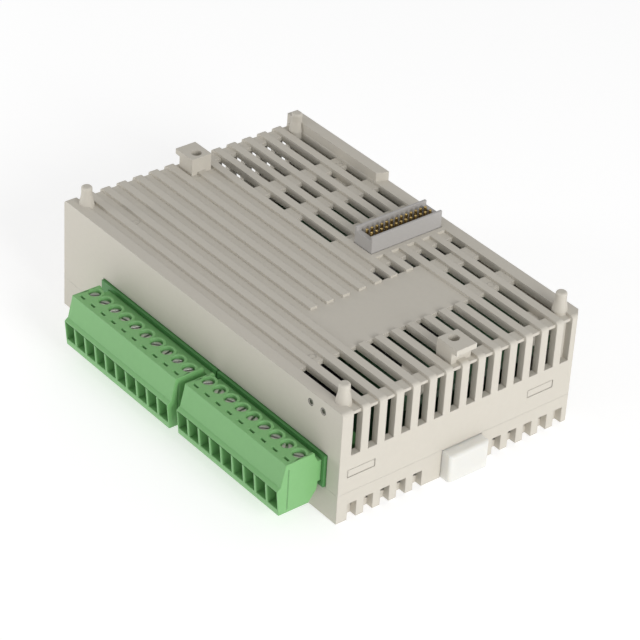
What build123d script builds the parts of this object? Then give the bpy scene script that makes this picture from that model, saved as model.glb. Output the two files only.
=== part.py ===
from build123d import *
import os

# Slim input/output extension module for a programmable controller, lying on its left side.
# X runs along the module's height, +Y points to the rail behind it, +Z to its right side.
# The origin is the centre of the left side, which is the face the module rests on.

# --- Housing -------------------------------------------------------------------------------
LENGTH = 90.0              # height of the module on the wall
DEPTH = 60.0               # front panel to rail seat
WIDTH = 25.2               # left side to right side
WALL = 1.6
PARTING_Z = 6.5            # where the base shell meets the cover
CORNER_ROUND = 0.8         # rounding along the roof's two short edges
BACK_CHAMFER = 1.5         # bevel of the lower back corner
FIT = 0.15                 # clearance between separate pieces that don't slide
SLIDE = 0.10               # clearance each side of a sliding piece
OVER = 1.0                 # how far a cut runs past the surface it leaves

X_END = LENGTH / 2
FRONT = -DEPTH / 2
BACK = DEPTH / 2
ROOF = WIDTH - WALL        # underside of the roof
X_IN = X_END - WALL
FRONT_IN = FRONT + WALL
BACK_IN = BACK - WALL

# --- Ribs and cooling slots ----------------------------------------------------------------
GAP_COUNT = 14
GAP_WIDTH = 2.2
BAND_FRONT = 2.6           # plain band of the roof along the front
BAND_BACK = 2.81           # plain band of the roof along the back
RECESS = 0.6               # depth of the gaps between the ribs
END_SLOT_Z0 = 15.0
END_SLOT_DROP = 1.3        # from the right side down to the top of the end slots
GAP_PITCH = (DEPTH - BAND_FRONT - BAND_BACK - GAP_WIDTH) / (GAP_COUNT - 1)
END_MARGIN = 3.5           # solid roof between an end and its long slots
LONG_SLOT = 13.3
FIRST_LEFT_SLOT = 8        # the long slots near the left end start at this gap
BASE_SLOT = 9.0
BASE_SLOT_MARGIN = 7.5
BASE_SLOT_TOP = 3.7
BASE_GAPS = (0, 1, 2, 3, 4, 9, 10, 11, 12, 13)
# Short slots of the roof: (first gap, last gap, start x, end x)
SHORT_SLOTS = (
    (8, 13, -24.4, -17.9),
    (8, 9, -13.9, -3.0),
    (10, 13, -13.9, -5.7),
    (8, 13, 9.3, 13.5),
    (11, 13, 17.5, 23.9),
)
PANEL_X0 = 14.0            # plain panel at the level of the gaps
PANEL_LENGTH = 14.5
PANEL_GAPS = (3, 10)

# --- Pegs, lugs and tongue that meet the neighbouring module -----------------------------------
PEG_D = 2.3
PEG_ROOT_D = 3.2
PEG_HEIGHT = 4.1
PEG_CONE_OVER = 0.1        # tapered root above the tongue wall
PEG_ROUND = 0.5
PEG_INSET_X = 3.6
PEG_INSET_Y = 3.0
PEG_HOLE_D = 3.4
PEG_HOLE_DEPTH = 4.3
PEG_BOSS_D = 5.2
PEG_HOLE_ROOF = 0.5        # closed end of the holes
LUG_HOLE_D = 2.26
LUG_INSET = 4.2            # lug hole from the end face
LUG_INNER = 1.9            # lug hole to the lug's inner face
LUG_BLOCK = 2.4            # lug hole to the outer face of the lug's foot
LUG_OUTER = 3.8            # lug hole to the tip of the lug's plate
LUG_WIDTH = 5.0
LUG_HEIGHT = 3.3
LUG_PLATE = 1.2
TONGUE_THICK = 2.7
TONGUE_HEIGHT = 2.1
TONGUE_END_X = -14.3
TONGUE_SKEW = 1.0          # slope of the tongue wall's free end
NEIGHBOUR_GAP = 0.2        # clearance round what the neighbour pushes in
PEG_X = X_END - PEG_INSET_X
PEG_Y = DEPTH / 2 - PEG_INSET_Y
LUG_X = X_END - LUG_INSET

# --- Boards ----------------------------------------------------------------------------------
BOARD_T = 1.6
BOARD_EDGE = 0.3           # board edge to wall
MAIN_Z0 = 5.0
BUS_BOARD_DROP = 6.6       # right side down to the bus board's upper face
BUS_BOARD_X0 = -25.0
BUS_BOARD_FRONT = 18.0     # front panel to the bus board's front edge
POST_D = 4.6
POST_PIN_D = 1.8
POST_HOLE_D = 2.0
POST_PIN_SHORT = 0.3       # board's face to the tip of a post's pin
POST_CORNER = 9.5          # main board's posts from the end faces
MAIN_POST_BACK = 9.0
MAIN_POST_FRONT = 15.0
BUS_POST_X0 = 4.0          # bus board's posts from its left edge
BUS_POST_X1 = 6.0          # and from the end face
BUS_POST_BACK = 8.0
BUS_POST_FRONT = 4.0
BUS_BOARD_END = 3.0        # end face to the bus board
LINK_INSET = 12.0          # two-row strip between the boards, from the bus board's edge and the back
LINK_WIDTH = 5.0
LINK_PITCH = 2.54
LINK_PINS = 4              # in each row
MAIN_TOP = MAIN_Z0 + BOARD_T
BUS_TOP = WIDTH - BUS_BOARD_DROP
BUS_BOTTOM = BUS_TOP - BOARD_T
BOARD_X = X_IN - BOARD_EDGE
BOARD_BACK = BACK_IN - BOARD_EDGE
MAIN_POSTS = [(side * (X_END - POST_CORNER), y) for side in (-1, 1)
              for y in (BACK - MAIN_POST_BACK, FRONT + MAIN_POST_FRONT)]
BUS_POSTS = [(x, y) for x in (BUS_BOARD_X0 + BUS_POST_X0, X_END - BUS_POST_X1)
             for y in (BACK - BUS_POST_BACK, FRONT + BUS_BOARD_FRONT + BUS_POST_FRONT)]

# --- Bus connector -----------------------------------------------------------------------------
BUS_PINS = 13              # in each of two rows
BUS_PITCH = 1.27
BUS_ROW_GAP = 1.5
BUS_PIN = 0.46
SHROUD_X0 = 0.2
SHROUD_WIDTH = 5.4
SHROUD_BACK = 2.7          # outside of the back face to the shroud
SHROUD_LENGTH = 18.3
SHROUD_WALL = 0.55
SHROUD_HEIGHT = 3.8        # above the right side
SHROUD_END_DROP = 1.0
PIN_BELOW_RIM = 0.2
PIN_TAIL = 0.6             # pins below the bus board
PIN_HOLE_FIT = 0.04        # pin to the side of its hole in the board
SHROUD_FLOOR = 1.4         # right side down to the shroud's floor
BEZEL = 1.35               # plain frame beside the shroud
SHROUD_X1 = SHROUD_X0 + SHROUD_WIDTH
SHROUD_Y1 = BACK - SHROUD_BACK
SHROUD_Y0 = SHROUD_Y1 - SHROUD_LENGTH
SHROUD_X = (SHROUD_X0 + SHROUD_X1) / 2
SHROUD_Y = (SHROUD_Y0 + SHROUD_Y1) / 2
SOCKET_GAP = 0.25          # socket body to the neighbour's shroud
SOCKET_Z0 = 0.7
SOCKET_PIN_FIT = 0.1       # neighbour's pin to the side of its hole

# --- Terminal headers and plugs ----------------------------------------------------------------
POLE_PITCH = 3.5
POLES_LEFT = 10
POLES_RIGHT = 9
HEADER_HEIGHT = 7.2
HEADER_DEPTH = 9.6
HEADER_PROUD = 0.6
HEADER_WALL = 1.0
HEADER_END = 0.8
HEADER_WIDE_END = 2.55     # thick outer end of the ten-pole header
HEADER_JOINT = 0.3
HEADER_BACK = 1.2
PLUG_SIDE_GAP = 0.1
PLUG_SEAT_LEFT = 0.6       # the ten-pole plug stands this much further out
PLUG_SEAT_RIGHT = 0.0
PLUG_DROP = 2.95           # plug below the header's underside
PLUG_RISE = 1.0            # plug above the header's top
TONGUE_GAP = 0.2           # plug nose inside the header, above and below
PLUG_INSERT = 7.0
POLE_WALL = 0.6
ENTRY_LOW = 1.35           # plug underside to the wire entries
ENTRY_HEIGHT = 4.25
SCREW_HOLE_D = 2.65
SCREW_HEAD_D = 2.3
SCREW_HEAD_T = 1.4
SCREW_SINK = 0.6           # screw head below the plug's top
SCREW_SLOT_W = 0.45
SCREW_SLOT_DEPTH = 0.6
SCREW_BACK = 4.65          # front panel to the screw row
COLLAR_EXTRA = 0.1
CAVITY_TOP = 2.05          # plug's top to the roof of the clamp cavity
CAVITY_HALF_Y = 1.95
SCALLOP_DROP = 1.7
TRENCH_WALL = 0.4          # clamp cavity to the trench along the plug's back
TRENCH_DROP = 3.4
TEST_SLOT = (1.6, 0.5, 1.4)
TEST_SLOT_BACK = 7.6
CAGE_WALL = 0.4
CAGE_FLOOR = 0.6
CAGE_TOP = 0.8
CAGE_REST = 0.6            # cavity floor to the open clamp
CLAMP_TRAVEL = 2.2
BAR_T = 0.6
HEADER_PIN_T = 0.9
SCREW_RADIAL_FIT = 0.05
SHANK_SIDE_GAP = 0.1       # screw shank to the clamp's walls
BAR_INSET = 0.05           # contact bar inside the shank's width
CONTACT_INSET = 0.65       # receptacle inside the wire entry's width
CLAMP_SHUT = 0.4           # clamp floor to the bar when the screw is driven home
CAGE_BAR_GAP = 0.2         # bar to the clamp's top
HEADER_PIN_INSET = 0.35    # header pin inside the receptacle's width
HEADER_PIN_TIP = 1.2       # panel to the pins' tips
LEG_T = 0.8                # header pins' legs
LEG_BACK = 0.6             # header's back to the legs
LEG_TAIL = 0.6             # legs below the main board
LEG_HOLE_FIT = 0.1
HEADER_ARM_GAP = 0.85      # header to the snap arms
RECEPTACLE_WALL = 0.25
RECEPTACLE_START = 0.6     # panel to the receptacle's front edge
RECEPTACLE_SHORT = 0.5     # receptacle inside the plug's nose
BAR_END_GAP = 0.2          # bar to the end of its cavity
SCREW_CHAMFER = 0.15
# Plug section as (out from the panel, down from the top), then (out, up from the underside).
PLUG_UPPER = ((1.1, 2.6), (2.0, 1.0), (2.3, 0.0), (8.9, 0.0))
PLUG_LOWER = ((10.0, 6.35), (10.2, 6.25), (10.8, 5.75), (10.2, 0.0), (3.05, 0.0), (1.3, 2.45),
              (1.1, 3.75))
PLUG_OUT = PLUG_UPPER[0][0]
SEAM_DEPTH = 0.15          # joint line on the plug's ends
SEAM_WIDTH = 0.2
SEAM_BACK = 8.2
SEAM_LOW = 0.7
SEAM_DROP = 1.4

HEADER_Z0 = MAIN_TOP
HEADER_Z1 = HEADER_Z0 + HEADER_HEIGHT
PLUG_Z0 = HEADER_Z0 - PLUG_DROP
PLUG_Z1 = HEADER_Z1 + PLUG_RISE
SNAP_T = 1.1               # thickness of the snap arms
PLUG_RIGHT_X1 = X_IN - FIT - SNAP_T - HEADER_ARM_GAP - HEADER_END - PLUG_SIDE_GAP
PLUG_RIGHT_X0 = PLUG_RIGHT_X1 - POLES_RIGHT * POLE_PITCH
HEADER_RIGHT_X0 = PLUG_RIGHT_X0 - PLUG_SIDE_GAP - HEADER_END
HEADER_RIGHT_X1 = PLUG_RIGHT_X1 + PLUG_SIDE_GAP + HEADER_END
PLUG_LEFT_X1 = HEADER_RIGHT_X0 - HEADER_JOINT - HEADER_END - PLUG_SIDE_GAP
PLUG_LEFT_X0 = PLUG_LEFT_X1 - POLES_LEFT * POLE_PITCH
HEADER_LEFT_X0 = PLUG_LEFT_X0 - PLUG_SIDE_GAP - HEADER_WIDE_END
HEADER_LEFT_X1 = PLUG_LEFT_X1 + PLUG_SIDE_GAP + HEADER_END
ENTRY_W = POLE_PITCH - POLE_WALL
CAGE_W = ENTRY_W - 2 * SLIDE
SHANK_D = CAGE_W - 2 * CAGE_WALL - 2 * SHANK_SIDE_GAP
BAR_HALF = SHANK_D / 2 - BAR_INSET
CONTACT_HALF = ENTRY_W / 2 - CONTACT_INSET
ENTRY_Z0 = PLUG_Z0 + ENTRY_LOW
CAVITY_Z1 = PLUG_Z1 - CAVITY_TOP
CAGE_Z0 = ENTRY_Z0 + CAGE_REST
BAR_Z0 = CAGE_Z0 + CAGE_FLOOR + CLAMP_TRAVEL + CLAMP_SHUT
BAR_Z1 = BAR_Z0 + BAR_T
CAGE_Z1 = BAR_Z1 + CAGE_BAR_GAP + CAGE_TOP
PIN_Z0 = BAR_Z1 + SLIDE
LEAF_Z0 = PIN_Z0 + HEADER_PIN_T + SLIDE
LEAF_T = 0.3
LEG_Y = FRONT - HEADER_PROUD + HEADER_DEPTH + LEG_BACK + LEG_T / 2
SLOT_ANGLES_LEFT = (58, 31, 74, 12, 66, 95, 40, 103, 62, 70)
SLOT_ANGLES_RIGHT = (64, 128, 22, 96, 117, 50, 28, 142, 36)

# --- Chips ---------------------------------------------------------------------------------------
CHIPS = 8                  # row of driver chips on the main board
CHIP_SIZE = (4.4, 6.5, 2.0)
CHIP_PITCH = 6.0
CHIP_X0 = 20.0             # first chip from the left end face
CHIP_FRONT = 18.0
COUPLER_SIZE = (6.0, 4.0, 1.6)
COUPLER_INSETS = (22.5, 15.0)
COUPLER_FRONTS = (24.0, 34.0)

# --- Status lights -----------------------------------------------------------------------------
LIGHT_D = 1.0
LIGHT_INSETS = (9.3, 5.6)  # from the end face
LIGHT_DROP = 2.4           # from the right side
LIGHT_LENGTH = 4.0
LIGHT_SINK = 0.1
LIGHT_FIT = 0.05

# --- Snap arms ---------------------------------------------------------------------------------
SNAP_WIDTH = 6.4
SNAP_FRONT = 2.2           # front and back distance of the arms from the corners
SNAP_BACK = 6.4
WINDOW_Z0 = 10.0
WINDOW_HEIGHT = 1.8
SNAP_FLUSH = 0.05
SNAP_TIP = 0.4             # arm above its hook

# --- Sliding module clips ----------------------------------------------------------------------
CLIP_WIDTH = 9.9
CLIP_Y = 0.7
CLIP_TOP = 6.2
CLIP_LIFT = 0.1
CLIP_PROUD = 2.6
CLIP_TRAVEL = 1.6
CLIP_ROOT = 0.9            # grip reaches this far into the wall
CLIP_ARM_T = 1.3
CLIP_ARM_Z = (2.3, 5.2)
CLIP_ROUND = 0.7
CHAMBER_WALL = 0.8
CHAMBER_X = LUG_X - LUG_INNER - NEIGHBOUR_GAP
CLIP_ARM_X = CHAMBER_X + CLIP_TRAVEL + SLIDE

# --- Rail latch and fixed hook -----------------------------------------------------------------
RAIL_WIDTH = 35.0
RAIL_LIP = 1.2             # room for the rail's edge
HOOK_OUT = 3.6             # how far the hooks stand behind the seat
HOOK_OVERLAP = 2.2         # how far a hook reaches over the rail's edge
HOOK_STEM = 2.6
FIXED_HOOK_TOP = 20.0
LATCH_Z0 = 8.2
LATCH_DROP = 3.2           # right side down to the latch's upper edge
LATCH_STEP = 1.3           # width of the lips that hold the latch
LATCH_LAYER = 1.0
LATCH_FLOOR = 2.4          # depth of the latch's groove
LATCH_X0 = 13.0
LATCH_LENGTH = 26.6
LATCH_TRAVEL = 3.5
GROOVE_WALL = 1.0
TAIL_SLOT_X = (3.0, 1.6)   # screwdriver slot, from the latch's tail
TAIL_SLOT_DEPTH = 1.2
TAIL_SLOT_WIDTH = 6.0
SPRING_WIRE = 0.35
SPRING_R = 0.9
SPRING_TURNS = 7
SPRING_LENGTH = 7.2
SPRING_X0 = 24.0
SPRING_POST = 1.4
LATCH_Z1 = WIDTH - LATCH_DROP
LATCH_MID = (LATCH_Z0 + LATCH_Z1) / 2
GROOVE_FLOOR = BACK - LATCH_FLOOR
RAIL_EDGE = RAIL_WIDTH / 2


def block(x0, x1, y0, y1, z0, z1):
    """A box given by its faces."""
    return Pos((x0 + x1) / 2, (y0 + y1) / 2, (z0 + z1) / 2) * Box(x1 - x0, y1 - y0, z1 - z0)


def rod_z(x, y, z0, z1, diameter):
    """An upright cylinder."""
    return Pos(x, y, (z0 + z1) / 2) * Cylinder(diameter / 2, z1 - z0)


def rod_y(x, y0, y1, z, diameter):
    """A cylinder along Y."""
    return Pos(x, (y0 + y1) / 2, z) * Rot(90, 0, 0) * Cylinder(diameter / 2, y1 - y0)


def prism_x(points, x0, x1):
    """A (y, z) outline carried from x0 to x1."""
    outline = make_face(Polyline(*points, close=True))
    return Pos(x0, 0, 0) * extrude(Plane.YZ * outline, amount=x1 - x0)


def prism_z(points, z0, z1):
    """An (x, y) outline carried from z0 to z1."""
    outline = make_face(Polyline(*points, close=True))
    return Pos(0, 0, z0) * extrude(outline, amount=z1 - z0)


def gap_y(index):
    """Front edge of a gap between two ribs."""
    return FRONT + BAND_FRONT + index * GAP_PITCH


def save(name, solids):
    """Write one node."""
    shapes = solids if isinstance(solids, list) else [solids]
    pieces = [solid for shape in shapes for solid in shape.solids()]
    export_step(Compound(children=pieces) if len(pieces) > 1 else pieces[0], f"parts/{name}.step")


# --- Shells ------------------------------------------------------------------------------------

def corner_bevel(z0, z1):
    """The wedge taken off the lower back corner."""
    reach = BACK_CHAMFER
    return prism_z([(X_END, BACK - reach), (X_END + OVER, BACK - reach), (X_END + OVER, BACK + OVER),
                    (X_END - reach, BACK + OVER), (X_END - reach, BACK)], z0, z1)


def roof_gaps():
    """Recesses between the ribs, wrapped down both end faces."""
    cuts = []
    for index in range(GAP_COUNT):
        y0 = gap_y(index)
        y1 = y0 + GAP_WIDTH
        cuts.append(block(-X_END - OVER, X_END + OVER, y0, y1, WIDTH - RECESS, WIDTH + OVER))
        for side in (-1, 1):
            ends = sorted((side * (X_END - RECESS), side * (X_END + OVER)))
            cuts.append(block(*ends, y0, y1, END_SLOT_Z0, WIDTH + OVER))
    return cuts


def roof_slots():
    """Slots right through the roof and the end walls."""
    cuts = []
    for index in range(GAP_COUNT):
        y0 = gap_y(index)
        y1 = y0 + GAP_WIDTH
        for side in (-1, 1):
            wall = sorted((side * (X_IN - OVER), side * (X_END + OVER)))
            long = sorted((side * (X_END - END_MARGIN), side * (X_END - END_MARGIN - LONG_SLOT)))
            cuts.append(block(*wall, y0, y1, END_SLOT_Z0, WIDTH - END_SLOT_DROP))
            if side > 0 or index >= FIRST_LEFT_SLOT:
                cuts.append(block(*long, y0, y1, ROOF - OVER, WIDTH))
    for first, last, x0, x1 in SHORT_SLOTS:
        for index in range(first, last + 1):
            y0 = gap_y(index)
            cuts.append(block(x0, x1, y0, y0 + GAP_WIDTH, ROOF - OVER, WIDTH))
    return cuts


def peg(x, y):
    """One locating peg: a tapered root as tall as the tongue wall, then a straight shaft."""
    cone_top = WIDTH + TONGUE_HEIGHT + PEG_CONE_OVER
    shaft = rod_z(x, y, cone_top, WIDTH + PEG_HEIGHT, PEG_D)
    shaft = fillet(shaft.faces().sort_by(Axis.Z)[-1].edges(), PEG_ROUND)
    cone = Pos(x, y, (WIDTH + cone_top) / 2) * Cone(PEG_ROOT_D / 2, PEG_D / 2, cone_top - WIDTH)
    return rod_z(x, y, ROOF, WIDTH, PEG_ROOT_D) + cone + shaft


def lug(side):
    """One lug: a foot under a plate that overhangs towards the end face."""
    foot = sorted((side * (LUG_X - LUG_INNER), side * (LUG_X + LUG_BLOCK)))
    plate = sorted((side * (LUG_X - LUG_INNER), side * (LUG_X + LUG_OUTER)))
    half = LUG_WIDTH / 2
    top = WIDTH + LUG_HEIGHT
    body = block(*foot, -half, half, ROOF, top)
    body += block(*plate, -half, half, top - LUG_PLATE, top)
    return body


def tongue():
    """Raised wall along the back, with its sloping free end."""
    y0 = BACK - TONGUE_THICK
    outline = [(-X_END, y0), (TONGUE_END_X - TONGUE_SKEW, y0), (TONGUE_END_X, BACK), (-X_END, BACK)]
    return prism_z(outline, ROOF, WIDTH + TONGUE_HEIGHT)


def latch_groove_cuts():
    """Stepped groove that holds the rail latch, open to the back."""
    x0 = LATCH_X0 - SLIDE
    x1 = LATCH_X0 + LATCH_LENGTH + LATCH_TRAVEL + SLIDE
    wide = block(x0, x1, GROOVE_FLOOR, GROOVE_FLOOR + LATCH_LAYER + 3 * SLIDE,
                 LATCH_Z0 - SLIDE, LATCH_Z1 + SLIDE)
    narrow = block(x0, x1, GROOVE_FLOOR, BACK + OVER, LATCH_Z0 + LATCH_STEP - SLIDE,
                   LATCH_Z1 - LATCH_STEP + SLIDE)
    return [wide, narrow]


def fixed_hook():
    """Hook that goes over the upper edge of the rail."""
    z0, z1 = PARTING_Z, FIXED_HOOK_TOP
    stem = block(-RAIL_EDGE - FIT - HOOK_STEM, -RAIL_EDGE - FIT, BACK - WALL, BACK + HOOK_OUT, z0, z1)
    lip = block(-RAIL_EDGE - FIT - HOOK_STEM, -RAIL_EDGE + HOOK_OVERLAP, BACK + RAIL_LIP,
                BACK + HOOK_OUT, z0, z1)
    return stem + lip


def cover_shell():
    """Right-side shell: walls, ribbed roof, pegs, lugs, tongue and the latch's groove."""
    body = block(-X_END, X_END, FRONT, BACK, PARTING_Z, WIDTH)
    edges = body.edges().filter_by(Axis.Y).filter_by(lambda e: e.center().Z > WIDTH - 0.01)
    body = fillet(edges, CORNER_ROUND)
    body -= block(-X_IN, X_IN, FRONT_IN, BACK_IN, PARTING_Z - OVER, ROOF)
    body -= roof_gaps()
    first, last = PANEL_GAPS
    body -= block(PANEL_X0, PANEL_X0 + PANEL_LENGTH, gap_y(first), gap_y(last) + GAP_WIDTH,
                  WIDTH - RECESS, WIDTH + OVER)
    bezel_front = SHROUD_Y0 - BEZEL
    body += block(SHROUD_X0 - BEZEL, SHROUD_X1 + BEZEL, bezel_front, BACK_IN, ROOF, WIDTH)
    body -= roof_slots()
    groove_x1 = LATCH_X0 + LATCH_LENGTH + LATCH_TRAVEL + SLIDE + GROOVE_WALL
    body += block(LATCH_X0 - SLIDE - GROOVE_WALL, min(groove_x1, X_IN), GROOVE_FLOOR - GROOVE_WALL,
                  BACK_IN, LATCH_Z0 - GROOVE_WALL, min(LATCH_Z1 + GROOVE_WALL, ROOF))
    body -= latch_groove_cuts()
    post_x = SPRING_X0 + SPRING_LENGTH
    body += block(post_x, post_x + SPRING_POST, GROOVE_FLOOR - GROOVE_WALL / 2, BACK - 3 * SLIDE,
                  LATCH_MID - SPRING_R, LATCH_MID + SPRING_R)
    body += tongue()
    body += [peg(x, y) for x in (-PEG_X, PEG_X) for y in (-PEG_Y, PEG_Y)]
    body += [lug(side) for side in (-1, 1)]
    body += fixed_hook()
    for x, y in BUS_POSTS:
        body += rod_z(x, y, BUS_TOP, ROOF, POST_D)
        body += rod_z(x, y, BUS_BOTTOM + POST_PIN_SHORT, BUS_TOP, POST_PIN_D)
    cuts = [block(SHROUD_X0 - FIT, SHROUD_X1 + FIT, SHROUD_Y0 - FIT, SHROUD_Y1 + FIT, ROOF - OVER,
                  WIDTH + OVER)]
    cuts += [rod_z(side * LUG_X, 0, ROOF - OVER, WIDTH + LUG_HEIGHT + OVER, LUG_HOLE_D) for side in (-1, 1)]
    cuts.append(block(HEADER_LEFT_X0 - FIT, HEADER_RIGHT_X1 + FIT, FRONT - OVER, FRONT_IN + 0.5,
                      PARTING_Z - OVER, HEADER_Z1 + FIT))
    for y0 in snap_starts():
        for side in (-1, 1):
            wall = sorted((side * (X_IN - 0.5), side * (X_END + OVER)))
            cuts.append(block(*wall, y0 - FIT, y0 + SNAP_WIDTH + FIT, WINDOW_Z0,
                              WINDOW_Z0 + WINDOW_HEIGHT))
    for inset in LIGHT_INSETS:
        cuts.append(rod_y(X_END - inset, FRONT - OVER, FRONT + LIGHT_LENGTH + FIT, WIDTH - LIGHT_DROP,
                          LIGHT_D + 2 * LIGHT_FIT))
    cuts.append(corner_bevel(PARTING_Z - OVER, WIDTH + OVER))
    return body - cuts


def snap_starts():
    """Front edges of the two snap arms at each end."""
    return (FRONT + SNAP_FRONT, BACK - SNAP_BACK - SNAP_WIDTH)


def snap_arm(side, y0):
    """Springy arm whose hook fills a window in the cover's end wall."""
    outer = X_IN - FIT
    arm = sorted((side * (outer - SNAP_T), side * outer))
    hook = sorted((side * (outer - SNAP_T), side * (X_END - SNAP_FLUSH)))
    top = WINDOW_Z0 + WINDOW_HEIGHT - FIT
    body = block(*arm, y0, y0 + SNAP_WIDTH, WALL / 2, top + SNAP_TIP)
    return body + block(*hook, y0, y0 + SNAP_WIDTH, WINDOW_Z0 + FIT, top)


def clip_chamber(side):
    """Walls and ceiling round a sliding clip, (solid, hollow)."""
    y0 = CLIP_Y - CLIP_WIDTH / 2 - SLIDE
    y1 = CLIP_Y + CLIP_WIDTH / 2 + SLIDE
    outside = sorted((side * (CHAMBER_X - CHAMBER_WALL), side * X_IN))
    inside = sorted((side * CHAMBER_X, side * (X_END + OVER)))
    solid = block(*outside, y0 - CHAMBER_WALL, y1 + CHAMBER_WALL, 0, CLIP_TOP + 2 * SLIDE + CHAMBER_WALL)
    hollow = block(*inside, y0, y1, -1, CLIP_TOP + 2 * SLIDE)
    return solid, hollow


def base_shell():
    """Left-side shell: tray, snap arms, peg sockets, clip chambers and board posts."""
    body = block(-X_END, X_END, FRONT, BACK, 0, PARTING_Z)
    body -= block(-X_IN, X_IN, FRONT_IN, BACK_IN, WALL, PARTING_Z + OVER)
    notch_top = TONGUE_HEIGHT + NEIGHBOUR_GAP
    notch_front = BACK - TONGUE_THICK - NEIGHBOUR_GAP
    notch_end = TONGUE_END_X + NEIGHBOUR_GAP
    body += block(-X_IN, notch_end + WALL, notch_front - WALL, BACK_IN, WALL, notch_top + WALL)
    body += [rod_z(x, y, WALL / 2, PEG_HOLE_DEPTH + PEG_HOLE_ROOF, PEG_BOSS_D)
             for x in (-PEG_X, PEG_X) for y in (-PEG_Y, PEG_Y)]
    body &= block(-X_END, X_END, FRONT, BACK, -1, PARTING_Z + OVER)
    body += [snap_arm(side, y0) for side in (-1, 1) for y0 in snap_starts()]
    cuts = [block(-X_END - OVER, notch_end, notch_front, BACK + OVER, -1, notch_top),
            corner_bevel(-1, PARTING_Z + OVER),
            block(SHROUD_X0 - 2 * FIT, SHROUD_X1 + 2 * FIT, SHROUD_Y0 - 2 * FIT, SHROUD_Y1 + 2 * FIT,
                  -1, WALL + OVER)]
    cuts += [rod_z(x, y, -1, PEG_HOLE_DEPTH, PEG_HOLE_D)
             for x in (-PEG_X, PEG_X) for y in (-PEG_Y, PEG_Y)]
    for index in BASE_GAPS:
        y0 = gap_y(index)
        for side in (-1, 1):
            wall = sorted((side * X_IN, side * (X_END + OVER)))
            start = X_END - BASE_SLOT_MARGIN
            long = sorted((side * start, side * (start - BASE_SLOT)))
            cuts.append(block(*wall, y0, y0 + GAP_WIDTH, -1, BASE_SLOT_TOP))
            cuts.append(block(*long, y0, y0 + GAP_WIDTH, -1, WALL + 0.1))
    for side in (-1, 1):
        solid, hollow = clip_chamber(side)
        body += solid
        cuts.append(hollow)
    for x, y in MAIN_POSTS:
        body += rod_z(x, y, WALL / 2, MAIN_Z0, POST_D)
        body += rod_z(x, y, MAIN_Z0, MAIN_TOP - POST_PIN_SHORT, POST_PIN_D)
    body -= cuts
    return body


# --- Pieces that slide in the shells -----------------------------------------------------------

def module_clip(side):
    """Grip with two arms and a lip that slides under the neighbour's lug."""
    y0 = CLIP_Y - CLIP_WIDTH / 2
    y1 = CLIP_Y + CLIP_WIDTH / 2
    outer = X_END + CLIP_PROUD
    root = X_END - CLIP_ROOT
    grip = block(root, outer, y0, y1, CLIP_LIFT, CLIP_TOP)
    rim = grip.faces().sort_by(Axis.X)[-1].edges().filter_by(lambda e: e.center().Z > CLIP_LIFT + 0.01)
    grip = fillet(rim, CLIP_ROUND)
    plate_z = (LUG_HEIGHT - LUG_PLATE - NEIGHBOUR_GAP, LUG_HEIGHT + NEIGHBOUR_GAP)
    half = LUG_WIDTH / 2 + NEIGHBOUR_GAP
    lip_x = LUG_X + LUG_BLOCK + CLIP_TRAVEL + SLIDE
    plate_x = LUG_X + LUG_OUTER + CLIP_TRAVEL + SLIDE
    grip -= [block(root - OVER, lip_x, -half, half, -1, plate_z[0]),
             block(root - OVER, plate_x, -half, half, plate_z[0], plate_z[1])]
    for arm in ((y0, y0 + CLIP_ARM_T), (y1 - CLIP_ARM_T, y1)):
        grip += block(CLIP_ARM_X, root + 0.5, *arm, *CLIP_ARM_Z)
    return grip if side > 0 else mirror(grip, about=Plane.YZ)


def din_latch():
    """Stepped slider with a hook over the rail's lower edge and a window for its spring."""
    x1 = LATCH_X0 + LATCH_LENGTH
    y0 = GROOVE_FLOOR + SLIDE
    body = block(LATCH_X0, x1, y0, y0 + LATCH_LAYER, LATCH_Z0, LATCH_Z1)
    body += block(LATCH_X0, x1, y0, BACK - SLIDE / 2, LATCH_Z0 + LATCH_STEP, LATCH_Z1 - LATCH_STEP)
    stem_x = RAIL_EDGE + FIT
    body += block(stem_x, stem_x + HOOK_STEM, y0, BACK + HOOK_OUT, LATCH_Z0 + LATCH_STEP,
                  LATCH_Z1 - LATCH_STEP)
    body += block(RAIL_EDGE - HOOK_OVERLAP, stem_x + HOOK_STEM, BACK + RAIL_LIP, BACK + HOOK_OUT,
                  LATCH_Z0, LATCH_Z1)
    body += block(stem_x, stem_x + HOOK_STEM, BACK + SLIDE, BACK + HOOK_OUT, LATCH_Z0, LATCH_Z1)
    window_x1 = SPRING_X0 + SPRING_LENGTH + SPRING_POST + SLIDE
    half = SPRING_R + SPRING_WIRE / 2 + SLIDE
    body -= block(SPRING_X0, window_x1, GROOVE_FLOOR - OVER, BACK + OVER, LATCH_MID - half,
                  LATCH_MID + half)
    half = TAIL_SLOT_WIDTH / 2
    return body - block(x1 - TAIL_SLOT_X[0], x1 - TAIL_SLOT_X[1], BACK - TAIL_SLOT_DEPTH, BACK + OVER,
                        LATCH_MID - half, LATCH_MID + half)


def din_latch_spring():
    """Small coil between the latch's window and the post on the cover."""
    pitch = (SPRING_LENGTH - SPRING_WIRE - 4 * SLIDE) / SPRING_TURNS
    path = Helix(pitch, pitch * SPRING_TURNS, SPRING_R)
    start = Plane(origin=path @ 0, z_dir=path % 0)
    coil = sweep(start * Circle(SPRING_WIRE / 2), path=path, is_frenet=True)
    x0 = SPRING_X0 + SPRING_WIRE / 2 + 2 * SLIDE
    return Pos(x0, BACK - LATCH_FLOOR / 2, LATCH_MID) * Rot(0, 90, 0) * coil


# --- Terminals ---------------------------------------------------------------------------------

def pole_x(first_x, index):
    """Centre of a pole, counted from a plug's left end."""
    return first_x + (index + 0.5) * POLE_PITCH


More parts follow.
